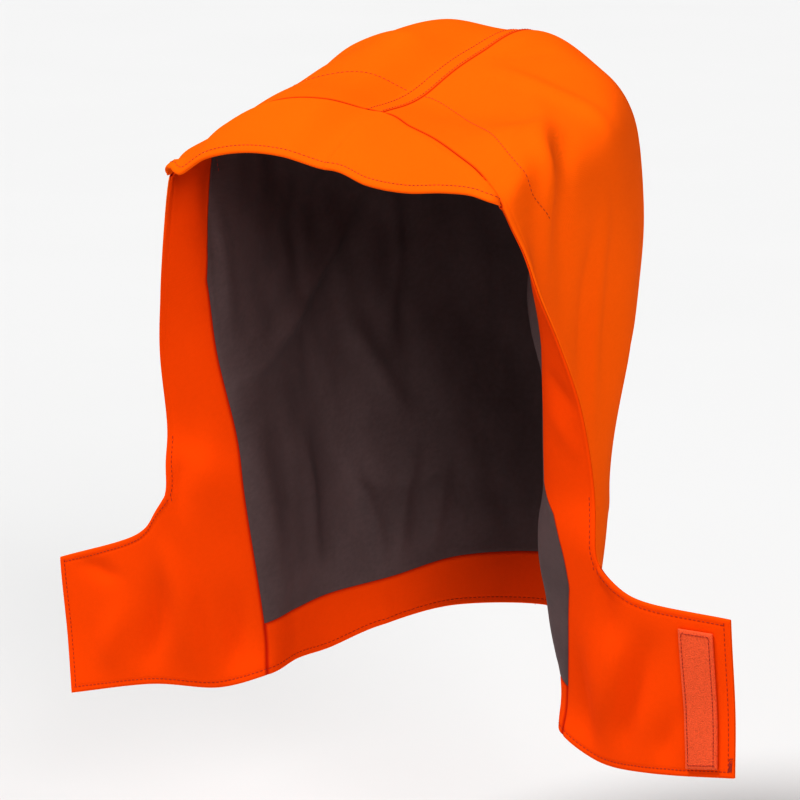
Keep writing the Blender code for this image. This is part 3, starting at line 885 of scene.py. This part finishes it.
def stitched(name, rows, pitch, length, thickness, thread):
    """The stitches of these rows as one plain mesh."""
    points = np.concatenate([row.points for row in rows])
    outs = np.concatenate([row.outs for row in rows])
    starts = np.cumsum([0] + [len(row.points) for row in rows])
    spans = zip(starts, starts[1:])
    edges = [(index, index + 1) for start, end in spans for index in range(start, end - 1)]
    data = bpy.data.meshes.new(name)
    data.from_pydata(points.tolist(), edges, [])
    attribute = data.attributes.new("out", "FLOAT_VECTOR", "POINT")
    attribute.data.foreach_set("vector", outs.ravel().astype(np.float32))
    piece = cloth_object(name, data)
    modifier = piece.modifiers.new("stitches", "NODES")
    modifier.node_group = stitch_tree()
    values = {"Pitch": pitch, "Length": length, "Thickness": thickness}
    values.update({"Unevenness": THREAD_UNEVENNESS, "Seed": 5, "Thread": thread})
    for socket in modifier.node_group.interface.items_tree:
        if socket.name in values:
            modifier[socket.identifier] = values[socket.name]
    evaluated = piece.evaluated_get(bpy.context.evaluated_depsgraph_get())
    plain = bpy.data.meshes.new_from_object(evaluated)
    piece.modifiers.clear()
    piece.data = plain
    plain.shade_smooth()
    return piece


@functools.lru_cache(maxsize=1)
def shaped_drape(fold_scale, felled_width, felled_rise):
    return Drape(fold_scale, felled_width, felled_rise)


def drape():
    """The cloth's grid for the present settings."""
    cloth = bpy.context.scene.hood_cloth
    return shaped_drape(cloth.fold_scale, cloth.felled_width, cloth.felled_rise)


def rgba(colour):
    return (*colour[:3], 1.0)


def scaled(colour, share):
    return tuple(channel * share for channel in colour[:3]) + (1.0,)


def new_material(name, constants):
    """An empty recipe for a material and its shader, with the sockets that are the same all over."""
    material = bpy.data.materials.new(name)
    material.use_nodes = True
    recipe = Recipe(material.node_tree)
    shader = material.node_tree.nodes["Principled BSDF"]
    for key, value in constants.items():
        shader.inputs[key].default_value = value
    return material, recipe, shader


@functools.lru_cache(maxsize=None)
def twill(name, colour, seam_shade_colour, pitch):
    """Closely woven orange twill: fine diagonal ribs, faint slubs, and a darker line along the seams that
    is the seams' own dark line with painted shade in their hollows.
    """
    material, recipe, shader = new_material(name, {"Specular IOR Level": 0.06})
    weave = recipe.attribute("weave", "Vector")
    parts = recipe.node("ShaderNodeSeparateXYZ", None, {0: weave})
    across, up = recipe.out(parts, 0), recipe.out(parts, 1)
    diagonal = recipe.sine((across + up * 1.2) * (2 * math.pi / pitch))
    yarn = recipe.sine(across * (4 * math.pi / pitch))
    fuzz = recipe.noise(weave, 2.2, 3.0, 0.6)
    slub = recipe.noise(weave, 0.35, 4.0, 0.65)
    cloud = recipe.noise(weave, 0.02, 2.0, 0.5)
    shade = slub * 0.5 + cloud * 0.5
    body = recipe.mixed(shade, scaled(colour, 0.86), scaled(colour, 1.0))
    ribbed = recipe.mixed((1 - (diagonal * 0.5 + 0.5)) * 0.12, body, scaled(colour, 0.55))
    # Darkens the twill towards the seam colour along the seams: the seams' own dark line with painted shade
    # in their hollows
    seam = recipe.attribute("seam", "Fac")
    recipe.feed(shader.inputs["Base Color"], recipe.mixed(seam * 0.85, ribbed, rgba(seam_shade_colour)))
    recipe.feed(shader.inputs["Roughness"], 0.78 + fuzz * 0.16)
    height = diagonal * 0.22 + yarn * 0.1 + fuzz * 0.9 + slub * 1.0
    recipe.bump(shader, 0.7, TWILL_RELIEF, height)
    return material


@functools.lru_cache(maxsize=None)
def lining_cloth(colour, sheen_colour):
    """Smooth dark lining with a fine plain weave and a low sheen."""
    constants = {"Sheen Weight": 0.04, "Sheen Roughness": 0.4, "Sheen Tint": rgba(sheen_colour),
                 "Specular IOR Level": 0.2}
    material, recipe, shader = new_material("lining_cloth", constants)
    weave = recipe.attribute("weave", "Vector")
    parts = recipe.node("ShaderNodeSeparateXYZ", None, {0: weave})
    warp = recipe.sine(recipe.out(parts, 0) * (2 * math.pi / LINING_PITCH))
    weft = recipe.sine(recipe.out(parts, 1) * (2 * math.pi / LINING_PITCH))
    slub = recipe.noise(weave, 0.3, 4.0, 0.65)
    cloud = recipe.noise(weave, 0.03, 3.0, 0.55)
    body = recipe.mixed(slub * 0.5 + cloud * 0.5, scaled(colour, 0.6), scaled(colour, 1.5))
    recipe.feed(shader.inputs["Base Color"], body)
    recipe.feed(shader.inputs["Roughness"], 0.5 + slub * 0.2)
    height = warp * 0.4 + weft * 0.4 + slub * 0.9
    recipe.bump(shader, 0.6, 0.0001, height)
    return material


@functools.lru_cache(maxsize=None)
def loop_pile(colour):
    """Short brushed loops of the closure patch."""
    constants = {"Sheen Weight": 0.05, "Sheen Roughness": 0.6, "Specular IOR Level": 0.1}
    material, recipe, shader = new_material("hook_and_loop", constants)
    weave = recipe.attribute("weave", "Vector")
    cells = recipe.node("ShaderNodeTexVoronoi", None, {"Vector": weave, "Scale": 1.3})
    loops = recipe.out(cells, "Distance")
    fuzz = recipe.noise(weave, 1.6, 4.0, 0.7)
    patchy = recipe.noise(weave, 0.25, 3.0, 0.6)
    body = recipe.mixed(fuzz * 0.6 + patchy * 0.4, scaled(colour, 0.75), scaled(colour, 1.15))
    recipe.feed(shader.inputs["Base Color"], recipe.mixed(loops * 0.6, body, scaled(colour, 0.55)))
    recipe.feed(shader.inputs["Roughness"], 0.85 + fuzz * 0.1)
    recipe.bump(shader, 0.9, 0.0004, fuzz - loops)
    return material


@functools.lru_cache(maxsize=None)
def sewing_thread(colour):
    """Matt core-spun thread with a fine twist."""
    material, recipe, shader = new_material("sewing_thread", {"Sheen Weight": 0.1})
    place = recipe.out(recipe.node("ShaderNodeTexCoord"), "Object")
    twist = recipe.noise(place, 2500.0, 2.0, 0.6)
    recipe.feed(shader.inputs["Base Color"], recipe.mixed(twist, scaled(colour, 0.7), scaled(colour, 1.2)))
    recipe.feed(shader.inputs["Roughness"], 0.6 + twist * 0.2)
    return material


@functools.lru_cache(maxsize=None)
def studio_floor(colour):
    material, recipe, shader = new_material("studio_floor", {"Specular IOR Level": 0.1})
    place = recipe.out(recipe.node("ShaderNodeTexCoord"), "Object")
    grain = recipe.noise(place, 3.0, 2.0, 0.5)
    recipe.feed(shader.inputs["Base Color"], recipe.mixed(grain, scaled(colour, 0.99), rgba(colour)))
    recipe.feed(shader.inputs["Roughness"], 0.8 + grain * 0.1)
    return material


def twill_for(slot):
    """The twill of the outer side, or of the facings and the neck band in a darker, redder copy of the
    outer orange, which paints the shade inside the hood.
    """
    cloth = bpy.context.scene.hood_cloth
    colours = {"outer_cloth": cloth.outer_colour, "facing_cloth": cloth.facing_shade_colour}
    return twill(slot, tuple(colours[slot]), tuple(cloth.seam_shade_colour), cloth.twill_pitch)


# Each cloth's size before it was sewn: width, length and area, how it is held, and what it rests on
Cut = namedtuple("Cut", "width length area held on")


def finished(piece, slot, *nodes):
    """Ties a finished piece to the hood's one body and hides the solids that it stands for."""
    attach(piece, "root")
    if nodes:
        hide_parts(*nodes)


class ClothSettings(bpy.types.PropertyGroup):
    """Sizes and colours of the cloth."""

    fold_scale: FloatProperty(
        name="Fold scale", description="Share of the folds' full height", default=1.0, min=0.0, max=1.5
    )
    felled_width: FloatProperty(
        name="Felled seam", description="Width of the felled seam's strip over the head",
        default=0.0115,
        unit="LENGTH", precision=4,
    )
    felled_rise: FloatProperty(
        name="Felled rise", description="How far the felled strip stands up", default=0.0006,
        unit="LENGTH", precision=4,
    )
    twill_pitch: FloatProperty(
        name="Twill pitch", description="Millimetres from one diagonal rib of the twill to the next",
        default=0.9
    )
    outer_colour: FloatVectorProperty(
        name="Outer cloth", description="High-visibility orange of the outer side", subtype="COLOR",
        default=(1.0, 0.165, 0.004),
    )
    # Facing cloth: the outer orange made darker and redder, as painted shade on the facings and the neck
    # band inside the hood
    facing_shade_colour: FloatVectorProperty(
        name="Facing cloth", description="Orange of the facings and the neck band", subtype="COLOR",
        default=(0.95, 0.10, 0.001),
    )
    # A dark red that paints the shade in the seams' hollows, together with the seams' own dark line
    seam_shade_colour: FloatVectorProperty(
        name="Seam line", description="Colour deep in the seams",
        subtype="COLOR", default=(0.45, 0.012, 0.004)
    )
    lining_colour: FloatVectorProperty(
        name="Lining", description="Dark brown-grey of the lining",
        subtype="COLOR", default=(0.118, 0.080, 0.080)
    )
    patch_colour: FloatVectorProperty(
        name="Closure patch", description="Orange of the loop pile",
        subtype="COLOR", default=(1.0, 0.16, 0.055)
    )


class StitchSettings(bpy.types.PropertyGroup):
    """Sizes and colour of the topstitching."""

    pitch: FloatProperty(
        name="Pitch", description="From one stitch to the next",
        default=0.0031, unit="LENGTH", precision=4
    )
    length: FloatProperty(
        name="Length", description="Length of one stitch", default=0.0025, unit="LENGTH", precision=4
    )
    thickness: FloatProperty(
        name="Thread", description="Thickness of the thread", default=0.0005, unit="LENGTH", precision=4
    )
    # A dark red that gives the thread's own colour and also paints the shade of its stitch holes
    colour: FloatVectorProperty(
        name="Thread colour", description="Colour of the thread",
        subtype="COLOR", default=(0.38, 0.02, 0.006)
    )


class StageSettings(bpy.types.PropertyGroup):
    """The floor, the lights and the camera."""

    floor_drop: FloatProperty(
        name="Floor drop", description="How far the floor lies below the hood",
        default=0.12, unit="LENGTH"
    )
    floor_radius: FloatProperty(
        name="Floor radius", description="How far the floor reaches", default=30.0, unit="LENGTH"
    )
    floor_colour: FloatVectorProperty(
        name="Floor", description="Pale floor", subtype="COLOR", default=(0.68, 0.68, 0.68)
    )
    sky_strength: FloatProperty(
        name="Fill", description="Strength of the light from all round", default=0.06
    )
    key_strength: FloatProperty(name="Key", description="Strength of the key light", default=2.7)
    key_from: FloatVectorProperty(
        name="Key from", description="The direction that the key light comes from",
        default=(-0.25, -0.42, 1.0)
    )
    front_strength: FloatProperty(name="Front", description="Strength of the front light", default=0.9)
    front_from: FloatVectorProperty(
        name="Front from", description="The direction that the front light comes from",
        default=(0.75, -0.6, 0.4)
    )
    side_strength: FloatProperty(name="Side", description="Strength of the side light", default=0.35)
    side_from: FloatVectorProperty(
        name="Side from", description="The direction that the side light comes from",
        default=(0.9, 0.15, 0.4)
    )
    azimuth: FloatProperty(
        name="Azimuth", description="Turn of the camera round the hood", default=math.radians(35),
        subtype="ANGLE",
    )
    elevation: FloatProperty(
        name="Elevation", description="Height of the camera over the hood", default=math.radians(11),
        subtype="ANGLE",
    )
    distance: FloatProperty(
        name="Distance", description="From the camera to the point it aims at",
        default=2.1948, unit="LENGTH"
    )
    aim: FloatVectorProperty(
        name="Aim", description="The point that the camera aims at",
        subtype="XYZ", default=(0.027, -0.122, -0.198)
    )
    lens: FloatProperty(name="Lens", description="Focal length in millimetres", default=160.0)


class HOOD_OT_side_panels(bpy.types.Operator):
    """Builds both outer panels with their flaps, felled together over the head"""

    bl_idname = "hood.side_panels"
    bl_label = "Side panels"

    def execute(self, context):
        cloth = drape()
        outer = cloth.layer(0, cloth.relief)
        inner = cloth.layer(PANEL_WALL)
        # Painted shade along the peak's seam and in the felled seam's ditch, with the seams' own dark line
        seams = np.clip(ridge(cloth.to_peak, 0.0009) + 0.8 * ridge(cloth.across, 0.0006), 0, 1)
        for side in ("left", "right"):
            name = f"side_panel_{side}"
            cells = cloth.area((0, 10), (-2, 6), side)
            twill = twill_for("outer_cloth")
            panel = sewn(f"{name}_cloth", outer, inner, cells, cloth.weave(), seams, twill)
            finished(panel, "outer_cloth", name)
        return {"FINISHED"}


class HOOD_OT_facings(bpy.types.Operator):
    """Builds the facings inside the face edge, which also line the flaps"""

    bl_idname = "hood.facings"
    bl_label = "Front facings"

    def execute(self, context):
        cloth = drape()
        outer, inner = cloth.facing_layer()
        # Painted shade along the facing's seam to the lining, with the seam's own dark line
        seams = ridge(cloth.behind_facing(), SEAM_LINE_SHADE_WIDTH)
        for side in ("left", "right"):
            name = f"front_facing_{side}"
            cells = cloth.area((0, 10), (-2, 1), side) | cloth.area((9, 10), (1, 6), side)
            twill = twill_for("facing_cloth")
            facing = sewn(f"{name}_cloth", outer, inner, cells, cloth.weave(), seams, twill)
            finished(facing, "facing_cloth", name)
        return {"FINISHED"}


class HOOD_OT_lining(bpy.types.Operator):
    """Builds the dark lining of the head part"""

    bl_idname = "hood.lining"
    bl_label = "Lining"

    def execute(self, context):
        cloth = drape()
        outer = cloth.layer(INNER_DEPTH + cloth.lining_sag)
        inner = cloth.layer(INNER_DEPTH + LINING_WALL + cloth.lining_sag, -cloth.inner_relief)
        cells = cloth.area((1, 9), (1, 6))
        seams = np.zeros_like(cloth.across)
        material = lining_cloth(tuple(context.scene.hood_cloth.lining_colour), (0.8, 0.75, 0.8))
        lining = sewn("lining_cloth", outer, inner, cells, cloth.weave(), seams, material)
        finished(lining, "lining_cloth", "lining")
        return {"FINISHED"}


class HOOD_OT_neck_band(bpy.types.Operator):
    """Builds the band inside the back of the neck edge"""

    bl_idname = "hood.neck_band"
    bl_label = "Neck band"

    def execute(self, context):
        cloth = drape()
        outer, inner = cloth.facing_layer()
        cells = cloth.area((0, 1), (1, 6))
        band_top = cloth.up[cloth.row_index(ROW["band_top"])] - cloth.up
        # Painted shade along the facing's seam and the band's top seam, with the seams' own dark line
        seams = ridge(cloth.behind_facing(), SEAM_LINE_SHADE_WIDTH) + ridge(band_top, SEAM_LINE_SHADE_WIDTH)
        seams = np.clip(seams, 0, 1)
        twill = twill_for("facing_cloth")
        band = sewn("neck_band_cloth", outer, inner, cells, cloth.weave(), seams, twill)
        finished(band, "facing_cloth", "neck_band")
        return {"FINISHED"}


def peak_columns(cloth):
    """The grid's columns that the peak covers."""
    return cloth.columns >= PEAK_END - 1e-6


def peak_grid(cloth):
    """The peak's upper face, its directions out, and how far along its reach each point is."""
    wide = peak_columns(cloth)
    seam = cloth.points[-1, wide]
    seam_normals = cloth.normals[-1, wide]
    columns = cloth.columns[wide]
    signs = np.where(cloth.left[wide], 1.0, -1.0)
    steps = spline_weights(len(PEAK_EDGE), columns) @ np.array(PEAK_EDGE) * PEAK_REACH
    steps[:, 0] *= signs
    length = np.linalg.norm(steps, axis=1)
    shares = grid_lines(PEAK_LINES)[:, None]
    begin = LAYER_GAP / length
    along = begin + (1 - begin) * shares
    proud = PEAK_SAG * length / PEAK_REACH * 4 * along * (1 - along)
    points = seam + along[..., None] * steps
    points[..., 2] += proud
    # Rows run up, from the front edge to the seam
    points, along = points[::-1], along[::-1]
    normals = corner_normals(points, np.ones((points.shape[0] - 1, points.shape[1] - 1), bool))
    reach = along * length
    blend = smooth_step(reach, 0.0, 0.008)[..., None]
    normals = normals * blend + seam_normals * (1 - blend)
    normals /= np.linalg.norm(normals, axis=2, keepdims=True)
    height = waves(points, count=10, longest=0.09, shortest=0.04, seed=21) * 0.0004
    height = height * smooth_step(reach, 0.002, 0.02)
    return points + normals * height[..., None], normals, reach, length - reach


def peak_depth(cloth):
    """The peak's thickness along its seam, which runs out towards its ends."""
    columns = cloth.columns[peak_columns(cloth)]
    return PEAK_WALL * (0.4 + 0.6 * smooth_step(columns, PEAK_END, 0.9))


class HOOD_OT_peak(bpy.types.Operator):
    """Builds the stiff two-layer peak in front of its seam"""

    bl_idname = "hood.peak"
    bl_label = "Peak"

    def execute(self, context):
        cloth = drape()
        points, normals, from_seam, from_edge = peak_grid(cloth)
        depth = peak_depth(cloth)
        edge = 0.4 * depth * rolled(from_edge, 0.0018)
        row = line_dip(from_edge - STITCH_INSET, DEEP_STITCH_DIP)
        relief = -edge_dip(from_seam, PEAK_SEAM_EDGE) - edge - row
        outer = points + normals * relief[..., None]
        inner = points - normals * (depth - edge)[..., None]
        across = lengths_along(points, 1)
        weave = np.stack([across, from_seam, np.zeros_like(across)], axis=2) / MM
        cells = np.ones((points.shape[0] - 1, points.shape[1] - 1), bool)
        # Painted shade along the peak's seam, with the seam's own dark line
        seams = ridge(from_seam, 0.0010)
        peak = sewn("peak_cloth", outer, inner, cells, weave, seams, twill_for("outer_cloth"))
        finished(peak, "outer_cloth", "peak")
        return {"FINISHED"}


def patch_grid(cloth):
    """The closure patch's face on the flap, and the directions out of the hood there."""
    flap = np.flatnonzero(cloth.left & (cloth.columns <= 0))
    top = float(ROW["flap_top"])
    low, high = top * PATCH_FOOT / FLAP_HEIGHT, top * (PATCH_FOOT + PATCH_HEIGHT) / FLAP_HEIGHT
    depth = PANEL_WALL + LINING_WALL + 3 * LAYER_GAP
    distances = np.linspace(PATCH_EDGE, PATCH_EDGE + PATCH_WIDTH, 33)
    face, outs = [], []
    for row in np.linspace(low, high, 97):
        points = cloth.on_row(cloth.points, row)[flap]
        normals = cloth.on_row(cloth.normals, row)[flap]
        along = np.concatenate([[0], np.cumsum(np.linalg.norm(np.diff(points, axis=0), axis=1))])
        out = at_places(distances, along, normals)
        face.append(at_places(distances, along, points) - out * depth)
        outs.append(out)
    return np.array(face), np.array(outs)


class HOOD_OT_closure_patch(bpy.types.Operator):
    """Builds the loop patch on the inner side of the wearer's left flap"""

    bl_idname = "hood.closure_patch"
    bl_label = "Closure patch"

    def execute(self, context):
        cloth = drape()
        outer, outs = patch_grid(cloth)
        inner = outer - outs * PATCH_WALL
        across, up = lengths_along(outer, 1), lengths_along(outer, 0)
        rim = np.minimum(np.minimum(across, across[:, -1:] - across), np.minimum(up, up[-1:] - up))
        weave = np.stack([across, up, np.zeros_like(up)], axis=2) / MM
        lift = edge_dip(rim, PATCH_RIM)
        inner = inner + (outer - inner) * (lift / PATCH_WALL)[..., None]
        cells = np.ones((outer.shape[0] - 1, outer.shape[1] - 1), bool)
        material = loop_pile(tuple(context.scene.hood_cloth.patch_colour))
        patch = sewn("closure_patch_pile", outer, inner, cells, weave, np.zeros_like(up), material)
        finished(patch, "hook_and_loop", "closure_patch")
        return {"FINISHED"}


def framed(points, outs, inset):
    """A closed row of stitches this far inside a grid's rim."""
    across, up = lengths_along(points, 1)[0], lengths_along(points, 0)[:, 0]
    left, low = (int(np.argmin(np.abs(lengths - inset))) for lengths in (across, up))
    right, high = (int(np.argmin(np.abs(lengths[-1] - lengths - inset))) for lengths in (across, up))
    walk = [(low, column) for column in range(left, right)]
    walk += [(row, right) for row in range(low, high)]
    walk += [(high, column) for column in range(right, left, -1)]
    walk += [(row, left) for row in range(high, low - 1, -1)]
    rows, columns = zip(*walk)
    return Row(points[rows, columns], outs[rows, columns])


def bar_tack(face):
    """Threads to and fro over the left flap's outer edge, low down."""
    near, far = (face.inside_front("left", inset, *TACK_ROWS) for inset in (0.0010, 0.0034))
    places = np.arange(len(near.points))
    steps = np.linspace(0, places[-1], 20)
    zigzag = []
    for values in ((near.points, far.points), (near.outs, far.outs)):
        ends = [at_places(steps, places, part) for part in values]
        zigzag.append(np.stack(ends, axis=1).reshape(-1, 3))
    return Row(*zigzag)


class HOOD_OT_topstitching(bpy.types.Operator):
    """Sews the felled seam, the facing line, the peak, the flaps, the hem and the closure patch"""

    bl_idname = "hood.topstitching"
    bl_label = "Topstitching"

    def execute(self, context):
        cloth = drape()
        sewing = context.scene.hood_stitches
        thread = sewing_thread(tuple(sewing.colour))
        size = (sewing.length, sewing.thickness, thread)
        lift = sewing.thickness * 0.2
        outside = Face(cloth, cloth.layer(-lift, cloth.relief), cloth.normals)
        depth = INNER_DEPTH + LINING_WALL + lift + cloth.lining_sag
        inside = Face(cloth, cloth.layer(depth, -cloth.inner_relief), -cloth.normals)
        faces = (outside, inside)
        insets = (FELLED_ROW, cloth.felled_width - FELLED_ROW)
        rows = [outside.beside_felled_seam(inset) for inset in insets]
        rows += [face.through_places(side, FACING_LINE[side]) for face in faces for side in FACING_LINE]
        rows += [face.above_hem(STITCH_INSET) for face in faces]
        for face in faces:
            for side in ("left", "right"):
                rows.append(face.inside_front(side, STITCH_INSET, *FRONT_ROWS))
                rows.append(face.below_flap_top(side, STITCH_INSET))
                rows.append(face.inside_front(side, STITCH_INSET, *FLAP_ROWS))
        rows.append(bar_tack(inside))
        points, normals, _, from_edge = peak_grid(cloth)
        wide = from_edge[-1] > 2 * STITCH_INSET
        measures = from_edge.T[wide]
        for depth, sign in ((np.full(len(wide), -lift), 1), (peak_depth(cloth) + lift, -1)):
            face = (points - normals * depth[:, None]).transpose(1, 0, 2)[wide]
            outs = normals.transpose(1, 0, 2)[wide] * sign
            rows.append(Row(*crossings(measures, [STITCH_INSET] * len(measures), face, outs)))
        finished(stitched("topstitching", rows, sewing.pitch, *size), "outer_cloth")

        face, outs = patch_grid(cloth)
        frame_row = framed(face - outs * (PATCH_WALL + lift), -outs, PATCH_STITCH_INSET)
        finished(stitched("patch_stitching", [frame_row], sewing.pitch * 0.8, *size), "hook_and_loop")
        return {"FINISHED"}


class HOOD_OT_stage(bpy.types.Operator):
    """Sets the floor, the lights and the camera"""

    bl_idname = "hood.stage"
    bl_label = "Stage"

    def execute(self, context):
        stage = context.scene.hood_stage
        floor_mesh = bpy.data.meshes.new("studio_floor")
        level = CAD_BOX[0][2] - stage.floor_drop
        ring = [
            (stage.floor_radius * math.cos(turn), stage.floor_radius * math.sin(turn), level)
            for turn in np.linspace(0, 2 * math.pi, 64, endpoint=False)
        ]
        floor_mesh.from_pydata(ring, [], [tuple(range(len(ring)))])
        floor_mesh.materials.append(studio_floor(tuple(stage.floor_colour)))
        cloth_object("studio_floor", floor_mesh)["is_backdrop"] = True

        world = bpy.data.worlds.new("studio")
        world.use_nodes = True
        background = world.node_tree.nodes["Background"]
        background.inputs["Color"].default_value = (1, 1, 1, 1)
        background.inputs["Strength"].default_value = stage.sky_strength
        context.scene.world = world

        for name in ("key", "front", "side"):
            light = bpy.data.lights.new(name, "SUN")
            light.energy = getattr(stage, f"{name}_strength")
            light.angle = SUN_ANGLE
            lamp = cloth_object(name, light)
            lamp.rotation_euler = Vector(getattr(stage, f"{name}_from")).to_track_quat("Z", "Y").to_euler()

        lens = bpy.data.cameras.new("camera")
        lens.lens = stage.lens
        lens.sensor_width = SENSOR_WIDTH
        lens.clip_end = 100
        camera = cloth_object("camera", lens)
        turn, rise = stage.azimuth, stage.elevation
        back = Vector((math.sin(turn) * math.cos(rise), -math.cos(turn) * math.cos(rise), math.sin(rise)))
        camera.location = Vector(stage.aim) + back * stage.distance
        camera.rotation_euler = back.to_track_quat("Z", "Y").to_euler()
        context.scene.camera = camera
        context.scene.view_settings.view_transform = "Standard"
        context.scene.view_settings.look = "High Contrast"
        return {"FINISHED"}


class HOOD_PT_builder(bpy.types.Panel):
    """Lists the hood's settings and its steps"""

    bl_idname = "HOOD_PT_builder"
    bl_label = "Hood"
    bl_space_type = "VIEW_3D"
    bl_region_type = "UI"
    bl_category = "Hood"

    def draw(self, context):
        for name in ("hood_cloth", "hood_stitches", "hood_stage"):
            settings = getattr(context.scene, name)
            for key in settings.bl_rna.properties.keys():
                if key not in ("rna_type", "name"):
                    self.layout.prop(settings, key)
        for step in STEPS:
            self.layout.operator(step.bl_idname)


STEPS = (
    HOOD_OT_side_panels,
    HOOD_OT_facings,
    HOOD_OT_lining,
    HOOD_OT_neck_band,
    HOOD_OT_peak,
    HOOD_OT_closure_patch,
    HOOD_OT_topstitching,
    HOOD_OT_stage,
)
CLASSES = (ClothSettings, StitchSettings, StageSettings, *STEPS, HOOD_PT_builder)


def register():
    for kind in CLASSES:
        bpy.utils.register_class(kind)
    bpy.types.Scene.hood_cloth = PointerProperty(type=ClothSettings)
    bpy.types.Scene.hood_stitches = PointerProperty(type=StitchSettings)
    bpy.types.Scene.hood_stage = PointerProperty(type=StageSettings)


def unregister():
    del bpy.types.Scene.hood_stage
    del bpy.types.Scene.hood_stitches
    del bpy.types.Scene.hood_cloth
    for kind in reversed(CLASSES):
        bpy.utils.unregister_class(kind)


def main():
    register()
    for step in STEPS:
        group, name = step.bl_idname.split(".")
        getattr(getattr(bpy.ops, group), name)()
    boxes = {"cad": CAD_BOX, "visual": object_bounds()}
    boxes = {name: [list(corner) for corner in box] for name, box in boxes.items()}


if __name__ == "__main__":
    main()
